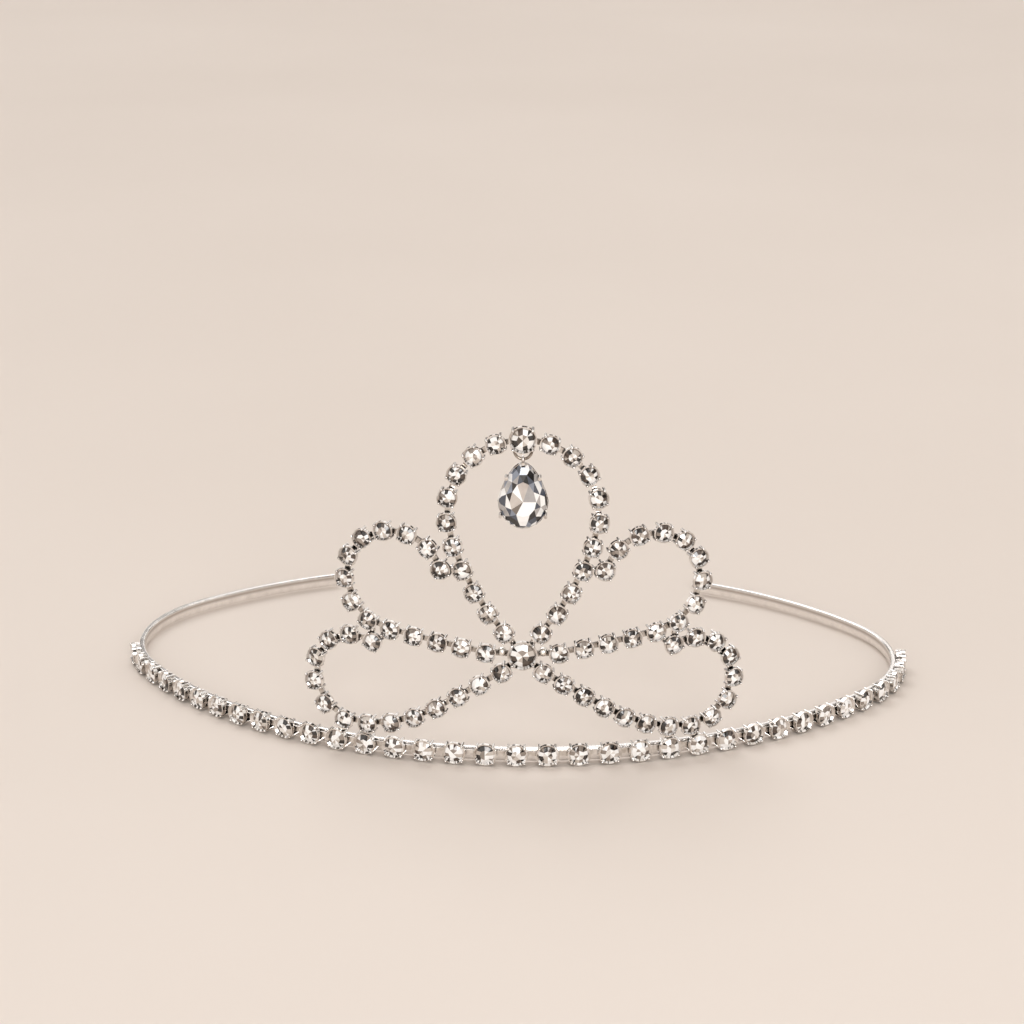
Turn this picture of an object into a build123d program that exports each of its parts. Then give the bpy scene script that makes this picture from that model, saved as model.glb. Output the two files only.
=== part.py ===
from build123d import *
import os
from math import atan2, cos, degrees, radians, sin

# Bridal tiara: an open C of flat silvered strip with a row of set stones round its front half,
# and a panel of five open petals of cup chain that stands on it. A pear drop hangs in the top petal.
# Millimetres. +Z up, -Y to the front, origin at the bottom centre of the whole tiara.

# Headband strip
BAND_HEIGHT = 2.35
BAND_THICKNESS = 1.0
BAND_BOTTOM = 0.4        # the row's cups hold the strip this far off the table
BAND_ROUND = 0.3
TIP_ROUND = 0.45
FRONT_RADIUS = 80.15     # the strip's centre line, across the front
SIDE_RADIUS = 26.3
REAR_RADIUS = 74.0
LEFT_FRONT_ANGLE = 57.9  # from the middle of the front to the start of each side bend
RIGHT_FRONT_ANGLE = 49.3
SIDE_TURN = 77.4
LEFT_REAR_LENGTH = 30.5
RIGHT_REAR_LENGTH = 38.0

# Row of stones on the strip
ROW_STONE_RADIUS = 1.75
ROW_SIDE_COUNT = 17      # stones each side of the middle one
ROW_PITCH = 5.13
ROW_SHIFT = -1.0         # the middle stone from the panel's centre line

# Petal chains
PETAL_STONE_RADIUS = 1.5
HUB_HEIGHT = 19.8
HUB_STONE_RADIUS = 2.3
TOP_ROUND_RADIUS = 12.7
TOP_STONE_HEIGHT = 56.7
TOP_ROUND_ANGLE = 105.0
TOP_FLANK_RADIUS = 42.0
TOP_FLANK_ANGLE = 28.0
TOP_SIDE_COUNT = 10
TOP_FIRST = 4.5          # the crown stone to the next one, along the chain
TOP_LAST = 1.0           # the last stone short of the flank's end
UPPER_ROUND_RADIUS = 8.65
UPPER_ROUND_ANGLE = 242.5
UPPER_RISE = 10.0        # slope of the upper petals' straight run
UPPER_RUN = 17.6
UPPER_START = (6.1, 20.1)
UPPER_COUNT = 14
LOWER_ROUND_RADIUS = 7.85
LOWER_ROUND_ANGLE = 206.0
LOWER_DIP_RADIUS = 27.5
LOWER_DIP_ANGLE = 32.0
LOWER_RUN = 13.0
LOWER_CENTRE = 29.1      # from the panel's centre line to the middle of a lower petal's round end
LOWER_LEFT_COUNT = 14
LOWER_RIGHT_COUNT = 15
FOOT_CUPS = slice(6, 8)  # the lower petals' cups that are soldered to the row
CROWN_STONE_RADIUS = 2.1

# Settings
CUP_WALL = 0.18
STONE_CLEARANCE = 0.03
CUP_TAPER = 0.78         # a cup's base radius over its rim radius
PRONG_RADIUS = 0.24
PRONG_SINK = 0.1         # how far a prong is let into the cup's wall
PRONG_COUNT = 4
STONE_SIDES = 12
GIRDLE_EDGE = 0.12
CROWN_SHARE = 0.3        # a stone's heights and flats over its radius
PAVILION_SHARE = 0.8
TABLE_SHARE = 0.58
CULET_SHARE = 0.12
CUP_FLOOR = 0.2
CUP_SHOULDER = 0.6       # where the taper ends, over the girdle's height
PRONG_LIFT = 0.3         # prong tips above the girdle
LINK_WIDTH = 0.9
LINK_THICKNESS = 0.5
HUB_PROUD = 0.3
CROWN_PROUD = 0.2

# Solder lumps
HUB_SOLDER_RADIUS = 0.8
HUB_SOLDER_ACROSS = 3.45
HUB_SOLDER_HEIGHT = 20.2
BAND_SOLDER_RADIUS = 0.7
JOINT_SOLDER_RADIUS = 0.65
SOLDER_OUT = 0.25        # lump centres in front of the petal cups' backs

# Drop and the rings that it hangs from
LOOP_RADIUS = 0.65
LOOP_WIRE = 0.2
RING_RADIUS = 1.4
RING_WIRE = 0.25
BAIL_RADIUS = 0.5
BAIL_WIRE = 0.18
RING_PLAY = 0.05         # between wires that hang on each other
RING_GAP = 0.35          # between the ring and the back of the crown stone's cup
LOOP_BELOW_CROWN = 0.8
PEAR_WIDTH = 8.3
PEAR_LOWER = 4.9         # from the pear's widest line down to its foot
PEAR_UPPER = 6.5         # and up to its tip
PEAR_SIDES = 20
PEAR_TAPER = 0.3         # how far the sides are drawn in towards the tip
PEAR_CROWN = 1.2
PEAR_PAVILION = 2.7
PEAR_TABLE = 0.62
PEAR_FORWARD = 0.35      # the girdle in front of the ring
GALLERY_INSET = 0.1
GALLERY_WIDTH = 0.6
GALLERY_DEPTH = 1.3
GALLERY_HEIGHT = 0.4
CLAW_RADIUS = 0.3
CLAW_OUT = 0.05          # claw centres outside the girdle
CLAW_LIFT = 0.45
CLAW_ANGLES = (0.0, 52.0, 119.0, -119.0, -52.0)

ON_BACK = (Align.CENTER, Align.CENTER, Align.MIN)


def girdle_height(stone_radius):
    """Height of a stone's girdle above the back of its cup."""
    return CUP_FLOOR + PAVILION_SHARE * stone_radius


def table_height(stone_radius):
    """Height of a stone's table above the back of its cup."""
    return girdle_height(stone_radius) + GIRDLE_EDGE / 2 + CROWN_SHARE * stone_radius


def rim_radius(stone_radius):
    """Outer radius of a cup."""
    return stone_radius + STONE_CLEARANCE + CUP_WALL


# Distances out from the strip's centre line
ROW_BACK = BAND_THICKNESS / 2
FACE = ROW_BACK + table_height(ROW_STONE_RADIUS)
PETAL_BACK = FACE - table_height(PETAL_STONE_RADIUS)
HUB_BACK = FACE + HUB_PROUD - table_height(HUB_STONE_RADIUS)
CROWN_BACK = FACE + CROWN_PROUD - table_height(CROWN_STONE_RADIUS)
RING_OUT = CROWN_BACK - RING_GAP - RING_WIRE

# The tiara stands on the row's cups.
ROW_CENTRE = rim_radius(ROW_STONE_RADIUS)


def half_band(side, front_angle, rear_length, start):
    """Centre line of one half of the strip, from the middle of the front to a tip."""
    with BuildLine() as half:
        front = JernArc(start, (side, 0), FRONT_RADIUS, side * front_angle)
        bend = JernArc(front @ 1, front % 1, SIDE_RADIUS, side * SIDE_TURN)
        JernArc(bend @ 1, bend % 1, REAR_RADIUS, side * degrees(rear_length / REAR_RADIUS))
    return half.line.edges().sort_by_distance(start)


# The front's middle goes where the strip's plan is centred on the origin.
plan_box = Compound(
    half_band(1, RIGHT_FRONT_ANGLE, RIGHT_REAR_LENGTH, (0, 0))
    + half_band(-1, LEFT_FRONT_ANGLE, LEFT_REAR_LENGTH, (0, 0))
).bounding_box()
front_middle = (
    -plan_box.center().X,
    -(plan_box.max.Y + BAND_THICKNESS / 2 - FACE - HUB_PROUD) / 2,
)
right_half = half_band(1, RIGHT_FRONT_ANGLE, RIGHT_REAR_LENGTH, front_middle)
left_half = half_band(-1, LEFT_FRONT_ANGLE, LEFT_REAR_LENGTH, front_middle)


def along(edges, distance):
    """Point and direction at a distance along joined edges, each drawn away from the start."""
    for edge in edges[:-1]:
        if distance <= edge.length:
            return edge @ (distance / edge.length), edge % (distance / edge.length)
        distance -= edge.length
    share = distance / edges[-1].length
    return edges[-1] @ share, edges[-1] % share


def strip_plane(distance, out, height):
    """Plane facing outwards at a distance along the strip from the front's middle, right positive."""
    half = right_half if distance >= 0 else left_half
    point, heading = along(half, abs(distance))
    sideways = heading if distance >= 0 else -heading
    outward = Vector(sideways.Y, -sideways.X, 0)
    return Plane(origin=point + outward * out + Vector(0, 0, height), x_dir=sideways, z_dir=outward)


def panel_plane(across, height, out, turn=0.0):
    """Plane facing outwards on the petal panel, which keeps the front's curve all the way."""
    swing = across / (FRONT_RADIUS + FACE)
    outward = Vector(sin(swing), -cos(swing), 0)
    sideways = Vector(cos(swing), sin(swing), 0)
    axis = Vector(front_middle[0], front_middle[1] + FRONT_RADIUS, height)
    return Plane(
        origin=axis + outward * (FRONT_RADIUS + out),
        x_dir=sideways * cos(radians(turn)) + Vector(0, 0, sin(radians(turn))),
        z_dir=outward,
    )


def make_stone(radius):
    """A round stone, its girdle at the height that its cup holds it."""
    girdle = Plane.XY.offset(girdle_height(radius) - GIRDLE_EDGE / 2)
    with BuildPart() as stone:
        with BuildSketch(Plane.XY.offset(CUP_FLOOR)):
            RegularPolygon(radius * CULET_SHARE, STONE_SIDES)
        with BuildSketch(girdle):
            RegularPolygon(radius, STONE_SIDES)
        loft(ruled=True)
        with BuildSketch(girdle):
            RegularPolygon(radius, STONE_SIDES)
        extrude(amount=GIRDLE_EDGE)
        with BuildSketch(girdle.offset(GIRDLE_EDGE)):
            RegularPolygon(radius, STONE_SIDES)
        with BuildSketch(Plane.XY.offset(table_height(radius))):
            RegularPolygon(radius * TABLE_SHARE, STONE_SIDES)
        loft(ruled=True)
    return stone.part


def cup_blank(stone_radius):
    """A cup with prongs round its rim before its seat is cut, its back on the XY plane."""
    rim = rim_radius(stone_radius)
    girdle = girdle_height(stone_radius)
    prong_length = girdle + PRONG_LIFT - PRONG_RADIUS
    with BuildPart() as blank:
        with BuildSketch(Plane.XZ):
            with BuildLine():
                Polyline(
                    (0, 0),
                    (rim * CUP_TAPER, 0),
                    (rim, girdle * CUP_SHOULDER),
                    (rim, girdle),
                    (0, girdle),
                    close=True,
                )
            make_face()
        revolve(axis=Axis.Z)
        with PolarLocations(rim + PRONG_RADIUS - PRONG_SINK - CUP_WALL, PRONG_COUNT, start_angle=45):
            Cylinder(PRONG_RADIUS, prong_length, align=ON_BACK)
            with Locations((0, 0, prong_length)):
                Sphere(PRONG_RADIUS)
    return blank.part


def make_cup(stone_radius):
    """A cup with the seat of its stone cut out."""
    girdle = girdle_height(stone_radius)
    seat = stone_radius + STONE_CLEARANCE
    with BuildPart() as cup:
        add(cup_blank(stone_radius))
        with BuildSketch(Plane.XZ):
            with BuildLine():
                Polyline(
                    (0, CUP_FLOOR - STONE_CLEARANCE),
                    (stone_radius * CULET_SHARE + STONE_CLEARANCE, CUP_FLOOR - STONE_CLEARANCE),
                    (seat, girdle - GIRDLE_EDGE / 2),
                    (seat, girdle + GIRDLE_EDGE / 2),
                    (stone_radius * TABLE_SHARE + STONE_CLEARANCE, table_height(stone_radius)),
                    (0, table_height(stone_radius)),
                    close=True,
                )
            make_face()
        revolve(axis=Axis.Z, mode=Mode.SUBTRACT)
    return cup.part


def place_all(piece, planes):
    """Copies of a piece on each plane, as separate solids."""
    with BuildPart() as placed:
        with Locations(*planes):
            add(piece)
    return placed


def hand_in(builder, name):
    """Label a finished piece and write its file."""
    builder.part.label = name
    export_step(builder.part, f"parts/{name}.step")


def chain_places(edges, first, pitch, count):
    """Across, height and turn of each cup of a chain along a petal's flat outline."""
    places = []
    for step in range(count):
        point, heading = along(edges, first + step * pitch)
        places.append((point.X, point.Y, degrees(atan2(heading.Y, heading.X))))
    return places


def mirrored(places):
    """The same places on the left."""
    return [(-across, height, -turn) for across, height, turn in places]


def cut_cups(cups):
    """Cut the outsides of cups from the part being built, each cup a plane with its stone radius."""
    for stone_radius in sorted({radius for _, radius in cups}):
        with Locations(*[plane for plane, radius in cups if radius == stone_radius]):
            add(cup_blank(stone_radius), mode=Mode.SUBTRACT)


def link_bars(pairs, cups):
    """Flat bars between pairs of places on the panel, ending against the cups."""
    with BuildPart() as bars:
        for start, end in pairs:
            run = Vector(end[0] - start[0], end[1] - start[1])
            across, height = (start[0] + end[0]) / 2, (start[1] + end[1]) / 2
            turn = degrees(atan2(run.Y, run.X))
            with Locations(panel_plane(across, height, PETAL_BACK, turn)):
                Box(run.length, LINK_WIDTH, LINK_THICKNESS, align=ON_BACK)
        cut_cups(cups)
    return bars


def petal_cups(places):
    """Planes of a petal's cups with their stone radii."""
    return [(panel_plane(*place[:2], PETAL_BACK, place[2]), PETAL_STONE_RADIUS) for place in places]


def hand_in_petal(name, chains):
    """Write the cups, stones and links of a petal made of one or more chains."""
    cups = petal_cups([place for chain in chains for place in chain])
    planes = [plane for plane, _ in cups]
    pairs = [pair for chain in chains for pair in zip(chain[:-1], chain[1:])]
    hand_in(place_all(make_cup(PETAL_STONE_RADIUS), planes), f"{name}_cups")
    hand_in(place_all(make_stone(PETAL_STONE_RADIUS), planes), f"{name}_stones")
    hand_in(link_bars(pairs, cups), f"{name}_links")


def lumps(spots, radius):
    """Round lumps of solder at (across, height) spots on the panel."""
    with BuildPart() as solder:
        with Locations(*[panel_plane(*spot, PETAL_BACK + SOLDER_OUT) for spot in spots]):
            Sphere(radius)
    return solder


def lump_between(first, second):
    """Spot of a lump halfway between two cups."""
    return ((first[0] + second[0]) / 2, (first[1] + second[1]) / 2)


def nearest(place, places):
    """The place of a list that lies closest to another."""
    return min(places, key=lambda other: (other[0] - place[0]) ** 2 + (other[1] - place[1]) ** 2)


os.makedirs("parts", exist_ok=True)

# Headband: a flat strip on edge with softened corners, rounded at both tips
with BuildPart() as headband:
    with BuildSketch(Plane.XY.offset(BAND_BOTTOM)):
        with BuildLine():
            add(right_half)
            add(left_half)
        trace(line_width=BAND_THICKNESS)
    extrude(amount=BAND_HEIGHT)
    uprights = headband.edges().filter_by(Axis.Z)
    tip_edges = ShapeList()
    for half in (right_half, left_half):
        tip = (half[-1] @ 1) + Vector(0, 0, BAND_BOTTOM + BAND_HEIGHT / 2)
        tip_edges += uprights.sort_by_distance(tip)[:2]
    fillet(tip_edges, TIP_ROUND)
    fillet(headband.faces().filter_by(Plane.XY).edges(), BAND_ROUND)
hand_in(headband, "headband")

# Row of set stones round the front half of the strip
row_steps = range(-ROW_SIDE_COUNT, ROW_SIDE_COUNT + 1)
row_spots = [ROW_SHIFT + step * ROW_PITCH for step in row_steps]
row_planes = [strip_plane(spot, ROW_BACK, ROW_CENTRE) for spot in row_spots]
hand_in(place_all(make_cup(ROW_STONE_RADIUS), row_planes), "row_cups")
hand_in(place_all(make_stone(ROW_STONE_RADIUS), row_planes), "row_stones")
with BuildPart() as row_links:
    between = [spot + ROW_PITCH / 2 for spot in row_spots[:-1]]
    with Locations(*[strip_plane(spot, ROW_BACK, ROW_CENTRE) for spot in between]):
        Box(ROW_PITCH, LINK_WIDTH, LINK_THICKNESS, align=ON_BACK)
    cut_cups([(plane, ROW_STONE_RADIUS) for plane in row_planes])
hand_in(row_links, "row_links")

# Top petal: a teardrop of two like halves that meet at the crown stone
crown_place = (0, TOP_STONE_HEIGHT, 0)
hub_place = (0, HUB_HEIGHT, 0)
with BuildLine() as top_outline:
    top_round = JernArc(crown_place[:2], (1, 0), TOP_ROUND_RADIUS, -TOP_ROUND_ANGLE)
    JernArc(top_round @ 1, top_round % 1, TOP_FLANK_RADIUS, -TOP_FLANK_ANGLE)
top_edges = top_outline.line.edges().sort_by_distance(crown_place)
top_length = sum(edge.length for edge in top_edges)
top_pitch = (top_length - TOP_FIRST - TOP_LAST) / (TOP_SIDE_COUNT - 1)
top_right = chain_places(top_edges, TOP_FIRST, top_pitch, TOP_SIDE_COUNT)
top_left = mirrored(top_right)
hand_in_petal("top_petal", [top_right, top_left])

# Upper petals: a straight run out from the hub, then a round end that curls back to the top petal
with BuildLine() as upper_outline:
    upper_run = PolarLine(UPPER_START, UPPER_RUN, UPPER_RISE)
    JernArc(upper_run @ 1, upper_run % 1, UPPER_ROUND_RADIUS, UPPER_ROUND_ANGLE)
upper_edges = upper_outline.line.edges().sort_by_distance(UPPER_START)
upper_pitch = sum(edge.length for edge in upper_edges) / (UPPER_COUNT - 1)
upper_right = chain_places(upper_edges, 0, upper_pitch, UPPER_COUNT)
upper_left = mirrored(upper_right)
hand_in_petal("upper_right_petal", [upper_right])
hand_in_petal("upper_left_petal", [upper_left])

# Lower petals: down from the hub, a dip that lies on the row, then a round end that curls back
lower_foot = (
    LOWER_CENTRE,
    ROW_CENTRE + rim_radius(ROW_STONE_RADIUS) + rim_radius(PETAL_STONE_RADIUS),
)
with BuildLine(mode=Mode.PRIVATE) as lower_guide:
    guide_dip = JernArc(lower_foot, (-1, 0), LOWER_DIP_RADIUS, -LOWER_DIP_ANGLE)
    PolarLine(guide_dip @ 1, LOWER_RUN, direction=guide_dip % 1)
lower_start = lower_guide.line.vertices().sort_by(Axis.X)[0].center()
with BuildLine() as lower_outline:
    lower_run = Line(lower_start, guide_dip @ 1)
    JernArc(lower_run @ 1, lower_run % 1, LOWER_DIP_RADIUS, LOWER_DIP_ANGLE)
    JernArc(lower_foot, (1, 0), LOWER_ROUND_RADIUS, LOWER_ROUND_ANGLE)
lower_edges = lower_outline.line.edges().sort_by_distance(lower_start)
lower_length = sum(edge.length for edge in lower_edges)
lower_right = chain_places(
    lower_edges, 0, lower_length / (LOWER_RIGHT_COUNT - 1), LOWER_RIGHT_COUNT
)
lower_left = mirrored(
    chain_places(lower_edges, 0, lower_length / (LOWER_LEFT_COUNT - 1), LOWER_LEFT_COUNT)
)
hand_in_petal("lower_right_petal", [lower_right])
hand_in_petal("lower_left_petal", [lower_left])

# Hub where the petals meet, and the crown stone at the top, each in a cup of its own
hub_plane = panel_plane(0, HUB_HEIGHT, HUB_BACK)
crown_plane = panel_plane(0, TOP_STONE_HEIGHT, CROWN_BACK)
hand_in(place_all(make_cup(HUB_STONE_RADIUS), [hub_plane]), "hub_setting")
hand_in(place_all(make_stone(HUB_STONE_RADIUS), [hub_plane]), "hub_stone")
hand_in(place_all(make_cup(CROWN_STONE_RADIUS), [crown_plane]), "crown_setting")
hand_in(place_all(make_stone(CROWN_STONE_RADIUS), [crown_plane]), "crown_stone")
hub_neighbours = [
    top_right[-1],
    top_left[-1],
    upper_right[0],
    upper_left[0],
    lower_right[0],
    lower_left[0],
]
crown_neighbours = [top_right[0], top_left[0]]
hub_cups = [(hub_plane, HUB_STONE_RADIUS)] + petal_cups(hub_neighbours)
crown_cups = [(crown_plane, CROWN_STONE_RADIUS)] + petal_cups(crown_neighbours)
hub_pairs = [(hub_place, place) for place in hub_neighbours]
crown_pairs = [(crown_place, place) for place in crown_neighbours]
hand_in(link_bars(hub_pairs, hub_cups), "hub_links")
hand_in(link_bars(crown_pairs, crown_cups), "crown_links")

# Solder where the petals meet the hub, each other and the row
hub_spots = [(HUB_SOLDER_ACROSS, HUB_SOLDER_HEIGHT), (-HUB_SOLDER_ACROSS, HUB_SOLDER_HEIGHT)]
hand_in(lumps(hub_spots, HUB_SOLDER_RADIUS), "hub_solder")
row_places = [(spot * (FRONT_RADIUS + FACE) / FRONT_RADIUS, ROW_CENTRE) for spot in row_spots]
for side, top, upper, lower in (
    ("right", top_right, upper_right, lower_right),
    ("left", top_left, upper_left, lower_left),
):
    upper_spot = lump_between(upper[-1], nearest(upper[-1], top))
    hand_in(lumps([upper_spot], JOINT_SOLDER_RADIUS), f"upper_solder_{side}")
    lower_spot = lump_between(lower[-1], nearest(lower[-1], upper))
    hand_in(lumps([lower_spot], JOINT_SOLDER_RADIUS), f"lower_solder_{side}")
    band_spots = [lump_between(cup, nearest(cup, row_places)) for cup in lower[FOOT_CUPS]]
    hand_in(lumps(band_spots, BAND_SOLDER_RADIUS), f"band_solder_{side}")


def wire_ring(height, radius, wire, facing):
    """A round wire ring below the crown stone, its hole along the facing direction."""
    with BuildPart() as ring:
        with Locations(Plane(origin=panel_plane(0, height, RING_OUT).origin, z_dir=facing)):
            Torus(radius, wire)
    return ring


# Rings: a fixed loop behind the crown stone's cup, the jump ring on it, the bail on the jump ring
loop_height = TOP_STONE_HEIGHT - LOOP_BELOW_CROWN
ring_pivot = loop_height - LOOP_RADIUS
ring_height = ring_pivot + LOOP_WIRE + RING_WIRE + RING_PLAY - RING_RADIUS
drop_pivot = ring_height - RING_RADIUS
bail_height = drop_pivot + RING_WIRE + BAIL_WIRE + RING_PLAY - BAIL_RADIUS
hand_in(wire_ring(loop_height, LOOP_RADIUS, LOOP_WIRE, (1, 0, 0)), "crown_loop")
hand_in(wire_ring(ring_height, RING_RADIUS, RING_WIRE, (0, 1, 0)), "jump_ring")
hand_in(wire_ring(bail_height, BAIL_RADIUS, BAIL_WIRE, (1, 0, 0)), "drop_bail")

# Pear drop, its tip against the bail
pear_tip = bail_height - BAIL_RADIUS - BAIL_WIRE
pear_plane = panel_plane(0, pear_tip - PEAR_UPPER, RING_OUT + PEAR_FORWARD)


def pear_corner(angle, scale, grow):
    """Corner of the pear's outline at an angle from its tip, scaled and grown outwards."""
    reach = PEAR_UPPER if cos(angle) > 0 else PEAR_LOWER
    drawn_in = 1 - PEAR_TAPER * max(cos(angle), 0)
    return (
        (PEAR_WIDTH / 2 * drawn_in * scale + grow) * sin(angle),
        (reach * scale + grow) * cos(angle),
    )


def pear_points(scale, grow):
    """Corners of the pear's outline."""
    steps = range(PEAR_SIDES)
    return [pear_corner(radians(360 * step / PEAR_SIDES), scale, grow) for step in steps]


def make_pear(grow):
    """The pear stone, its girdle round the XY plane, grown all round by a clearance."""
    levels = (
        (-PEAR_PAVILION - grow, CULET_SHARE),
        (-GIRDLE_EDGE, 1.0),
        (GIRDLE_EDGE, 1.0),
        (PEAR_CROWN + grow, PEAR_TABLE),
    )
    with BuildPart() as pear:
        for (low, low_scale), (high, high_scale) in zip(levels[:-1], levels[1:]):
            for level, scale in ((low, low_scale), (high, high_scale)):
                with BuildSketch(Plane.XY.offset(level)):
                    Polygon(*pear_points(scale, grow), align=None)
            loft(ruled=True)
    return pear.part


hand_in(place_all(make_pear(0), [pear_plane]), "drop_stone")
with BuildPart() as pear_setting:
    with BuildSketch(Plane.XY.offset(-GALLERY_DEPTH)):
        Polygon(*pear_points(1, -GALLERY_INSET), align=None)
        Polygon(*pear_points(1, -GALLERY_INSET - GALLERY_WIDTH), align=None, mode=Mode.SUBTRACT)
    extrude(amount=GALLERY_HEIGHT)
    for claw_angle in CLAW_ANGLES:
        with Locations((*pear_corner(radians(claw_angle), 1, CLAW_OUT), -GALLERY_DEPTH)):
            Cylinder(CLAW_RADIUS, GALLERY_DEPTH + CLAW_LIFT, align=ON_BACK)
    add(make_pear(STONE_CLEARANCE), mode=Mode.SUBTRACT)
hand_in(place_all(pear_setting.part, [pear_plane]), "drop_setting")
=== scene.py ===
import math

import bpy
import numpy as np
from mathutils import Matrix, Vector


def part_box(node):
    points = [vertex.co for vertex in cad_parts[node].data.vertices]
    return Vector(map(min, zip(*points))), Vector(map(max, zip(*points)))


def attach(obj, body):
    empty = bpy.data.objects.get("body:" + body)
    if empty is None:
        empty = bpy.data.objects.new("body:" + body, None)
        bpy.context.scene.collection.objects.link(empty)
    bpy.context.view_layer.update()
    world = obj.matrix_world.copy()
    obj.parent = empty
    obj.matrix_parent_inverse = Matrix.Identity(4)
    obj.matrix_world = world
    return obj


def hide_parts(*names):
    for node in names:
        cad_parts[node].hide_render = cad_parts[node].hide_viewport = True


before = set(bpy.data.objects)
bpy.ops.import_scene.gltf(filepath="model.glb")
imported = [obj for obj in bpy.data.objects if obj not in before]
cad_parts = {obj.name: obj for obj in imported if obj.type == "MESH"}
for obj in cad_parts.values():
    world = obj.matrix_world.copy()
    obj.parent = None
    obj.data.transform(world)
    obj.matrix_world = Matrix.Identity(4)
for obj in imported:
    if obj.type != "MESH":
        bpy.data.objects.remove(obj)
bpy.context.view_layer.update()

MM = 0.001
PETALS = (
    "top_petal",
    "upper_right_petal",
    "upper_left_petal",
    "lower_right_petal",
    "lower_left_petal",
)

# Sockets of a Mix node that blends colours
MIX_A = 6
MIX_B = 7
MIX_RESULT = 2

CORNER_SHADE = (0.035, 0.022, 0.015)   # painted shade in corners and between parts
WHITE = (1.0, 0.99, 0.98)


# ---------------------------------------------------------------- materials
def new_material(name):
    """A node material with its shader, ready for textures."""
    material = bpy.data.materials.new(name)
    material.use_nodes = True
    nodes = material.node_tree.nodes
    return material, nodes, material.node_tree.links, nodes["Principled BSDF"]


def noise_colour(nodes, links, scale, low, high):
    """A noise over the object's own coordinates, ramped between two (place, colour) stops."""
    coords = nodes.new("ShaderNodeTexCoord")
    noise = nodes.new("ShaderNodeTexNoise")
    noise.inputs["Scale"].default_value = scale
    noise.inputs["Detail"].default_value = 3.0
    links.new(coords.outputs["Object"], noise.inputs["Vector"])
    ramp = nodes.new("ShaderNodeValToRGB")
    for element, (place, colour) in zip(ramp.color_ramp.elements, (low, high)):
        element.position = place
        element.color = (*colour, 1)
    links.new(noise.outputs["Fac"], ramp.inputs["Fac"])
    return noise, ramp


def silver(name, dark, bright, low_rough, high_rough, reach, corner=0.75):
    """Plated metal with faint cloudiness, with painted shade darkening it to brown in its
    corners.
    """
    material, nodes, links, shader = new_material(name)
    shader.inputs["Metallic"].default_value = 1.0
    noise, ramp = noise_colour(nodes, links, 900.0, (0.3, dark), (0.7, bright))

    # Painted shade: where ambient occlusion finds other metal or stones close by, the colour
    # turns brown
    corners = nodes.new("ShaderNodeAmbientOcclusion")
    corners.samples = 6
    corners.inputs["Distance"].default_value = reach
    depth = nodes.new("ShaderNodeMapRange")
    depth.inputs["From Min"].default_value = corner - 0.4
    depth.inputs["From Max"].default_value = corner
    links.new(corners.outputs["AO"], depth.inputs["Value"])
    darken = nodes.new("ShaderNodeMix")
    darken.data_type = "RGBA"
    darken.inputs[MIX_A].default_value = (*CORNER_SHADE, 1)
    links.new(depth.outputs["Result"], darken.inputs["Factor"])
    links.new(ramp.outputs["Color"], darken.inputs[MIX_B])
    links.new(darken.outputs[MIX_RESULT], shader.inputs["Base Color"])

    rough = nodes.new("ShaderNodeMapRange")
    rough.inputs["To Min"].default_value = low_rough
    rough.inputs["To Max"].default_value = high_rough
    links.new(noise.outputs["Fac"], rough.inputs["Value"])
    links.new(rough.outputs["Result"], shader.inputs["Roughness"])
    return material


def paint_reflection_line(material, low, high, colour):
    """A painted reflection: a soft grey line between two heights along a strip of metal."""
    nodes, links = material.node_tree.nodes, material.node_tree.links
    base_colour = nodes["Principled BSDF"].inputs["Base Color"]
    coords = nodes.new("ShaderNodeTexCoord")
    split = nodes.new("ShaderNodeSeparateXYZ")
    links.new(coords.outputs["Object"], split.inputs["Vector"])
    height = nodes.new("ShaderNodeMapRange")
    height.inputs["From Min"].default_value = low
    height.inputs["From Max"].default_value = high
    links.new(split.outputs["Z"], height.inputs["Value"])
    band = nodes.new("ShaderNodeValToRGB")
    elements = band.color_ramp.elements
    elements[0].position, elements[0].color = 0.0, (0, 0, 0, 1)
    elements[1].position, elements[1].color = 1.0, (0, 0, 0, 1)
    elements.new(0.5).color = (1, 1, 1, 1)
    links.new(height.outputs["Result"], band.inputs["Fac"])
    mix = nodes.new("ShaderNodeMix")
    mix.data_type = "RGBA"
    mix.inputs[MIX_B].default_value = (*colour, 1)
    metal = base_colour.links[0].from_socket
    links.new(band.outputs["Color"], mix.inputs["Factor"])
    links.new(metal, mix.inputs[MIX_A])
    links.new(mix.outputs[MIX_RESULT], base_colour)


def faceted(name, tones, metal):
    """Cut crystal over foil, drawn opaque: each facet has a tone of its own, painted light
    and shade standing in for what the crystal reflects, under a clear polish.
    """
    material, nodes, links, shader = new_material(name)
    shader.inputs["Metallic"].default_value = metal
    shader.inputs["Roughness"].default_value = 0.22
    shader.inputs["Coat Weight"].default_value = 1.0
    shader.inputs["Coat Roughness"].default_value = 0.02
    shader.inputs["Coat IOR"].default_value = 1.55

    # painted reflections: each facet's tone picks a colour from near black to white
    tone = nodes.new("ShaderNodeAttribute")
    tone.attribute_name = "tone"
    ramp = nodes.new("ShaderNodeValToRGB")
    ramp.color_ramp.interpolation = "CONSTANT"
    elements = ramp.color_ramp.elements
    elements[0].position, elements[0].color = tones[0][0], (*tones[0][1], 1)
    elements[1].position, elements[1].color = tones[-1][0], (*tones[-1][1], 1)
    for place, colour in tones[1:-1]:
        elements.new(place).color = (*colour, 1)
    links.new(tone.outputs["Fac"], ramp.inputs["Fac"])

    noise, _ = noise_colour(nodes, links, 700.0, (0.3, (0, 0, 0)), (0.7, (1, 1, 1)))
    cloud = nodes.new("ShaderNodeMix")
    cloud.data_type = "RGBA"
    cloud.blend_type = "OVERLAY"
    cloud.inputs["Factor"].default_value = 0.35
    links.new(ramp.outputs["Color"], cloud.inputs[MIX_A])
    links.new(noise.outputs["Fac"], cloud.inputs[MIX_B])
    links.new(cloud.outputs[MIX_RESULT], shader.inputs["Base Color"])
    return material


# Each metal below has painted shade in its corners; the row's cups and links get less of it
# than the plate
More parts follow.
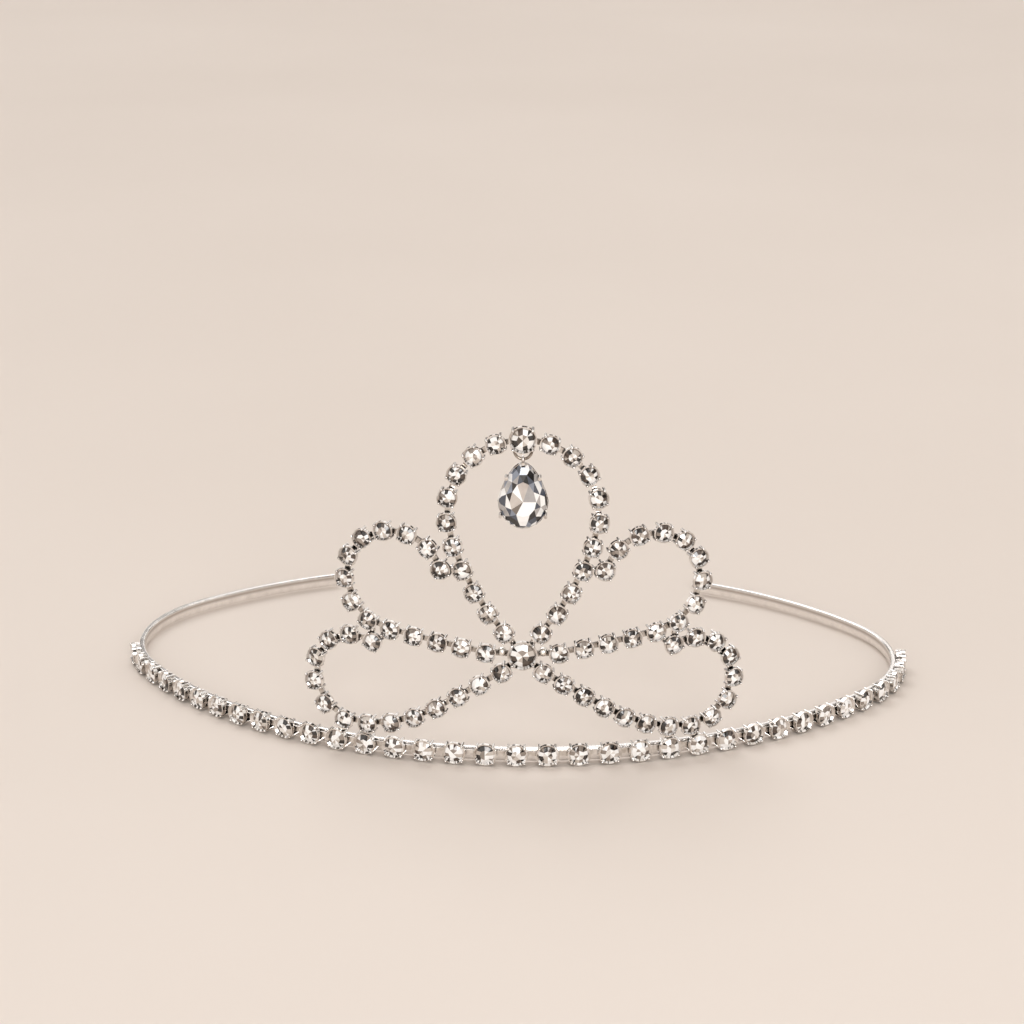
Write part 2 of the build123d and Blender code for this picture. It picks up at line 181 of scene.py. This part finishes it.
plate = silver("silver_plate", (0.55, 0.5, 0.46), WHITE, 0.05, 0.14, 1.0 * MM, 0.92)
less_shaded = silver("silver_less_shade", (0.6, 0.55, 0.5), WHITE, 0.06, 0.16, 0.6 * MM, 0.72)
strip = silver("silver_strip", (0.82, 0.79, 0.77), (0.94, 0.92, 0.9), 0.14, 0.24, 0.3 * MM)
# painted reflection: a grey line along the headband's face
paint_reflection_line(strip, 1.5 * MM, 2.6 * MM, (0.45, 0.41, 0.38))
link = silver("silver_link", (0.3, 0.26, 0.22), (0.8, 0.76, 0.72), 0.1, 0.25, 0.6 * MM, 0.8)
solder = silver("solder", (0.75, 0.68, 0.6), (0.97, 0.94, 0.9), 0.15, 0.35, 0.3 * MM)
wire = silver("silver_wire", (0.12, 0.09, 0.07), (0.6, 0.54, 0.48), 0.12, 0.25, 0.5 * MM)

# Tones of the stones' painted reflections, from near black to white
stone_table = faceted(
    "stone_table",
    (
        (0.0, (0.06, 0.045, 0.035)),
        (0.14, (0.3, 0.255, 0.22)),
        (0.32, (0.55, 0.49, 0.435)),
        (0.5, (0.78, 0.74, 0.7)),
        (0.7, WHITE),
    ),
    0.1,
)
stone_facets = faceted(
    "stone_facets",
    (
        (0.0, (0.012, 0.008, 0.006)),
        (0.32, (0.08, 0.055, 0.042)),
        (0.46, (0.27, 0.225, 0.19)),
        (0.58, (0.6, 0.54, 0.485)),
        (0.7, WHITE),
    ),
    0.2,
)
pear_table = faceted(
    "pear_table",
    (
        (0.0, (0.16, 0.13, 0.11)),
        (0.15, (0.4, 0.385, 0.38)),
        (0.35, (0.56, 0.5, 0.46)),
        (0.7, (1.0, 1.0, 1.0)),
    ),
    0.05,
)
pear_facets = faceted(
    "pear_facets",
    (
        (0.0, (0.01, 0.008, 0.008)),
        (0.24, (0.06, 0.07, 0.095)),
        (0.42, (0.22, 0.245, 0.3)),
        (0.6, (0.44, 0.415, 0.4)),
        (0.78, (0.95, 0.94, 0.93)),
    ),
    0.15,
)


def metal_for(node):
    """The metal that a CAD node is made of."""
    if node in ("headband", "drop_bail"):
        return strip
    if "solder" in node:
        return solder
    if node in ("crown_loop", "jump_ring"):
        return wire
    if node in ("row_cups", "row_links"):
        return less_shaded
    if node.endswith("_links"):
        return link
    return plate


for node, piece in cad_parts.items():
    piece.data.materials.clear()
    piece.data.materials.append(metal_for(node))


# ---------------------------------------------------------------- reading the frame
def separate_solids(node):
    """Vertex positions of each solid of a CAD node."""
    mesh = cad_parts[node].data
    places = np.array([vertex.co for vertex in mesh.vertices])
    merged = np.round(places / 1e-6).astype(np.int64)
    _, same = np.unique(merged, axis=0, return_inverse=True)
    same = same.ravel()
    group = np.arange(same.max() + 1)
    edges = same[np.array([edge.vertices[:] for edge in mesh.edges])]
    while True:
        low = np.minimum(group[edges[:, 0]], group[edges[:, 1]])
        before = group.copy()
        np.minimum.at(group, edges[:, 0], low)
        np.minimum.at(group, edges[:, 1], low)
        group = group[group]
        if (before == group).all():
            break
    labels = group[same]
    return [places[labels == label] for label in np.unique(labels)]


def facing(stone, middle):
    """The way a round stone faces: the one direction whose spread is unlike the other two."""
    spreads, directions = np.linalg.eigh(np.cov((stone - middle).T))
    not_itself = np.eye(3) * 9
    gaps = np.abs(spreads[:, None] - spreads[None, :]) + not_itself
    axis = Vector(directions[:, int(np.argmax(gaps.min(axis=1)))])
    centre = (stone.min(axis=0) + stone.max(axis=0)) / 2
    outwards = Vector((centre[0], centre[1], 0))
    return -axis if axis.dot(outwards) < 0 else axis


def flatten(points, side, up):
    """Points as seen along the stone's axis."""
    return np.stack([points @ np.array(side), points @ np.array(up)], axis=1)


def prong_turn(cup, girdle, side, up):
    """The angle that the four prongs of a cup stand at."""
    flat = flatten(cup - np.array(girdle), side, up)
    reach = np.hypot(flat[:, 0], flat[:, 1])
    far = flat[reach > reach.max() * 0.97]
    angle = np.arctan2(far[:, 1], far[:, 0])
    return math.atan2(np.sin(4 * angle).sum(), np.cos(4 * angle).sum()) / 4


def settings(stones_node, cups_node):
    """Where each set stone lies: centre of its girdle, its frame of axes and its radius."""
    cups = separate_solids(cups_node)
    cup_centres = np.array([cup.mean(axis=0) for cup in cups])
    found = []
    for stone in separate_solids(stones_node):
        middle = stone.mean(axis=0)
        cup = cups[int(np.argmin(((cup_centres - middle) ** 2).sum(axis=1)))]
        axis = facing(stone, middle)
        side = axis.orthogonal().normalized()
        up = axis.cross(side)
        corners = stone - middle
        across = flatten(corners, side, up)
        reach = np.hypot(across[:, 0], across[:, 1])
        radius = float(reach.max())
        heights = corners @ np.array(axis)
        girdle = Vector(middle) + axis * float(heights[reach > radius * 0.98].mean())
        turn = prong_turn(cup, girdle, side, up)
        first = side * math.cos(turn) + up * math.sin(turn)
        second = axis.cross(first)
        axes = Matrix((first, second, axis)).transposed().to_4x4()
        found.append((girdle, axes, radius))
    return found


# ---------------------------------------------------------------- modelling helpers
def clear_selection():
    """Leave edit mode and deselect everything."""
    if bpy.context.object and bpy.context.object.mode != "OBJECT":
        bpy.ops.object.mode_set(mode="OBJECT")
    bpy.ops.object.select_all(action="DESELECT")


def ring(sides, radius, height, turn):
    """A ring of corners, added to the mesh being edited if there is one."""
    bpy.ops.mesh.primitive_circle_add(
        vertices=sides,
        radius=radius,
        location=(0, 0, height),
        rotation=(0, 0, math.radians(turn)),
    )


def cut_stone(name, rings, dome, table_material, facet_material):
    """A cut stone from rings of corners (sides, radius, height, turn), its table domed."""
    clear_selection()
    ring(*rings[0])
    stone = bpy.context.object
    stone.name = name
    bpy.ops.object.mode_set(mode="EDIT")
    for corners in rings[1:]:
        ring(*corners)
    bpy.ops.mesh.primitive_circle_add(vertices=3, radius=0.002, location=(0, 0, dome))
    bpy.ops.mesh.merge(type="CENTER")
    bpy.ops.mesh.select_all(action="SELECT")
    bpy.ops.mesh.convex_hull()
    bpy.ops.mesh.select_all(action="SELECT")
    bpy.ops.mesh.dissolve_limited(angle_limit=math.radians(0.8))
    bpy.ops.mesh.normals_make_consistent(inside=False)
    bpy.ops.object.mode_set(mode="OBJECT")
    stone.data.materials.append(table_material)
    stone.data.materials.append(facet_material)
    for face in stone.data.polygons:
        face.use_smooth = False
        face.material_index = 0 if face.normal.z > 0.97 else 1
    return stone


def paint_facet_reflections(piece, seed, lift=0.0):
    """Give each facet a random tone of its own, which the stone materials paint as reflected
    light and shade.
    """
    tones = np.random.default_rng(seed).random(len(piece.data.polygons)) + lift
    layer = piece.data.attributes.new("tone", "FLOAT", "FACE")
    layer.data.foreach_set("value", tones.astype(np.float32))


def set_copies(master, places, name):
    """One piece of copies of a master, one at each (centre, axes, radius)."""
    copies = []
    for centre, axes, radius in places:
        copy = master.copy()
        copy.data = master.data.copy()
        bpy.context.collection.objects.link(copy)
        size = Matrix.Diagonal((radius * SPREAD, radius * SPREAD, radius, 1))
        copy.matrix_world = Matrix.Translation(centre) @ axes @ size
        copies.append(copy)
    clear_selection()
    for copy in copies:
        copy.select_set(True)
    bpy.context.view_layer.objects.active = copies[0]
    if len(copies) > 1:
        bpy.ops.object.join()
    piece = bpy.context.object
    bpy.ops.object.transform_apply(location=True, rotation=True, scale=True)
    piece.name = name
    return piece


# ---------------------------------------------------------------- round stones
SPREAD = 1.1                    # a stone's girdle spreads over the lip of its cup
ROW_LIFT = 0.1                  # the row's stones get paler painted reflections than the petals'
PETAL_LIFT = 0.04

chaton = cut_stone(
    "chaton",
    (
        (8, 0.44, 0.345, 0.0),
        (16, 0.99, 0.035, 0.0),
        (16, 0.99, -0.035, 0.0),
        (8, 0.6, -0.42, 0.0),
        (8, 0.12, -0.79, 22.5),
    ),
    0.36,
    stone_table,
    stone_facets,
)
stone_nodes = [(f"{petal}_stones", f"{petal}_cups") for petal in PETALS]
stone_nodes += [("row_stones", "row_cups")]
stone_nodes += [("hub_stone", "hub_setting"), ("crown_stone", "crown_setting")]
for seed, (stones_node, cups_node) in enumerate(stone_nodes):
    stones = set_copies(chaton, settings(stones_node, cups_node), f"{stones_node}_cut")
    paint_facet_reflections(stones, seed, ROW_LIFT if stones_node == "row_stones" else PETAL_LIFT)
    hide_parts(stones_node)
    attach(stones, "tiara")
bpy.data.objects.remove(chaton)

# ---------------------------------------------------------------- pear drop
PEAR_UPPER = 6.5 / 4.9          # tip part of the pear's height over its foot part
PEAR_FOOT = 4.9 / 4.15          # foot part over half the width
PEAR_SHARE = 4.9 / 11.4         # foot part of the pear's height
PEAR_TAPER = 0.3                # how far the sides are drawn in towards the tip
PEAR_CROWN = 1.2
PEAR_PAVILION = 2.7
PEAR_SEED = 40
MIDLINE = 1e-4                  # corners above this belong to the tip part
LEVEL_GAP = 2e-4                # corners this close in height are one level
# Painted reflections round the table, light and dark tones clockwise from the tip
TABLE_REFLECTIONS = (0.5, 0.2, 0.25, 0.45, 0.9, 0.95, 0.9, 0.05, 0.1, 0.4, 0.6, 0.8)


def select_level(stone, test):
    """Select the corners whose height along the pear passes a test, ready to edit."""
    bpy.ops.object.mode_set(mode="EDIT")
    bpy.ops.mesh.select_mode(type="VERT")
    bpy.ops.mesh.select_all(action="DESELECT")
    bpy.ops.object.mode_set(mode="OBJECT")
    for vertex in stone.data.vertices:
        vertex.select = test(vertex.co.y)
    bpy.ops.object.mode_set(mode="EDIT")


def draw_pear(stone):
    """Draw the round stone's upper half out to a tip, level by level."""
    levels = sorted({round(v.co.y, 4) for v in stone.data.vertices if v.co.y > MIDLINE})
    for level in levels:
        select_level(stone, lambda y: abs(y - level) < LEVEL_GAP)
        narrow = 1 - PEAR_TAPER * min(level, 1.0)
        bpy.ops.transform.resize(value=(narrow, 1, 1), center_override=(0, 0, 0))
        bpy.ops.object.mode_set(mode="OBJECT")
    select_level(stone, lambda y: y > MIDLINE)
    bpy.ops.transform.resize(value=(1, PEAR_UPPER, 1), center_override=(0, 0, 0))
    bpy.ops.mesh.select_all(action="SELECT")
    bpy.ops.transform.resize(value=(1, PEAR_FOOT, 1), center_override=(0, 0, 0))
    bpy.ops.object.mode_set(mode="OBJECT")


def paint_table_reflections(stone):
    """Lay the chosen painted reflection tones round the pear's table."""
    count = len(TABLE_REFLECTIONS)
    tones = stone.data.attributes["tone"].data
    for face in stone.data.polygons:
        if face.material_index == 0:
            turn = math.atan2(face.center.x, face.center.y) / math.tau
            tones[face.index].value = TABLE_REFLECTIONS[int(turn * count + count) % count]


def hang_pear(stone):
    """Stand the pear in the place and at the size of the CAD stone."""
    low, high = (Vector(corner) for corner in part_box("drop_stone"))
    girdle_share = PEAR_CROWN / (PEAR_CROWN + PEAR_PAVILION)
    stone.rotation_euler = (math.radians(90), 0, 0)
    stone.scale = ((high.x - low.x) / 2,) * 3
    stone.location = (
        (low.x + high.x) / 2,
        low.y + (high.y - low.y) * girdle_share,
        low.z + (high.z - low.z) * PEAR_SHARE,
    )
    clear_selection()
    stone.select_set(True)
    bpy.context.view_layer.objects.active = stone
    bpy.ops.object.transform_apply(location=True, rotation=True, scale=True)


pear = cut_stone(
    "pear_cut",
    (
        (12, 0.52, 0.275, 0.0),
        (12, 0.72, 0.22, 15.0),
        (24, 0.88, 0.12, 7.5),
        (24, 0.995, 0.025, 0.0),
        (24, 0.995, -0.025, 0.0),
        (12, 0.66, -0.3, 0.0),
        (6, 0.12, -0.64, 0.0),
    ),
    0.287,
    pear_table,
    pear_facets,
)
draw_pear(pear)
paint_facet_reflections(pear, PEAR_SEED)
paint_table_reflections(pear)
hang_pear(pear)
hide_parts("drop_stone")
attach(pear, "drop")


# ---------------------------------------------------------------- floor, light and camera
def lay_floor():
    """A plain warm floor, faintly mottled."""
    bpy.ops.mesh.primitive_plane_add(size=6.0, location=(0, 0, 0))
    floor = bpy.context.object
    floor.name = "floor"
    material, nodes, links, shader = new_material("floor")
    _, ramp = noise_colour(
        nodes, links, 3.0, (0.35, (0.74, 0.66, 0.595)), (0.65, (0.77, 0.69, 0.625))
    )
    links.new(ramp.outputs["Color"], shader.inputs["Base Color"])
    shader.inputs["Roughness"].default_value = 0.9
    shader.inputs["Specular IOR Level"].default_value = 0.1
    floor.data.materials.append(material)


def light_studio():
    """Dark and light patches for the metal to mirror, behind a plain warm backdrop."""
    world = bpy.data.worlds.new("studio")
    bpy.context.scene.world = world
    world.use_nodes = True
    nodes, links = world.node_tree.nodes, world.node_tree.links
    background = nodes["Background"]
    background.inputs["Strength"].default_value = 1.2
    coords = nodes.new("ShaderNodeTexCoord")
    patches = nodes.new("ShaderNodeTexNoise")
    patches.inputs["Scale"].default_value = 5.0
    patches.inputs["Detail"].default_value = 1.0
    links.new(coords.outputs["Generated"], patches.inputs["Vector"])
    tones = nodes.new("ShaderNodeValToRGB")
    elements = tones.color_ramp.elements
    elements[0].position, elements[0].color = 0.44, (0.012, 0.008, 0.006, 1)
    elements[1].position, elements[1].color = 0.52, (1.0, 0.965, 0.93, 1)
    elements.new(0.48).color = (0.3, 0.24, 0.2, 1)
    links.new(patches.outputs["Fac"], tones.inputs["Fac"])
    seen = nodes.new("ShaderNodeLightPath")
    backdrop = nodes.new("ShaderNodeMix")
    backdrop.data_type = "RGBA"
    backdrop.inputs[MIX_B].default_value = (0.64, 0.57, 0.51, 1)
    links.new(seen.outputs["Is Camera Ray"], backdrop.inputs["Factor"])
    links.new(tones.outputs["Color"], backdrop.inputs[MIX_A])
    links.new(backdrop.outputs[MIX_RESULT], background.inputs["Color"])


def hang_lights():
    """A soft high sun, and a round soft light in front."""
    bpy.ops.object.light_add(type="SUN", location=(0, 0, 1))
    key = bpy.context.object
    key.name = "key"
    key.data.energy = 1.0
    key.data.angle = math.radians(40)
    key.data.color = (0.97, 0.98, 1.0)
    key.rotation_euler = (math.radians(-34), math.radians(-14), 0)

    bpy.ops.object.light_add(type="AREA", location=(0.25, -1.6, 0.6))
    fill = bpy.context.object
    fill.name = "fill"
    fill.data.shape = "DISK"
    fill.data.size = 0.8
    fill.data.energy = 13.0
    aim = Vector((0, -0.03, 0.03)) - fill.location
    fill.rotation_euler = aim.to_track_quat("-Z", "Y").to_euler()


def place_camera():
    """A long lens, a little above the tiara and in front of it."""
    data = bpy.data.cameras.new("camera")
    data.sensor_width = 36.0
    data.lens = 87.89
    data.clip_start = 0.01
    data.clip_end = 20.0
    camera = bpy.data.objects.new("camera", data)
    bpy.context.collection.objects.link(camera)
    camera.location = (0.00934, -0.42762, 0.1688)
    camera.rotation_euler = (math.radians(72.072), math.radians(-0.02), math.radians(1.303))
    bpy.context.scene.camera = camera
    bpy.context.scene.view_settings.view_transform = "Standard"


lay_floor()
light_studio()
hang_lights()
place_camera()
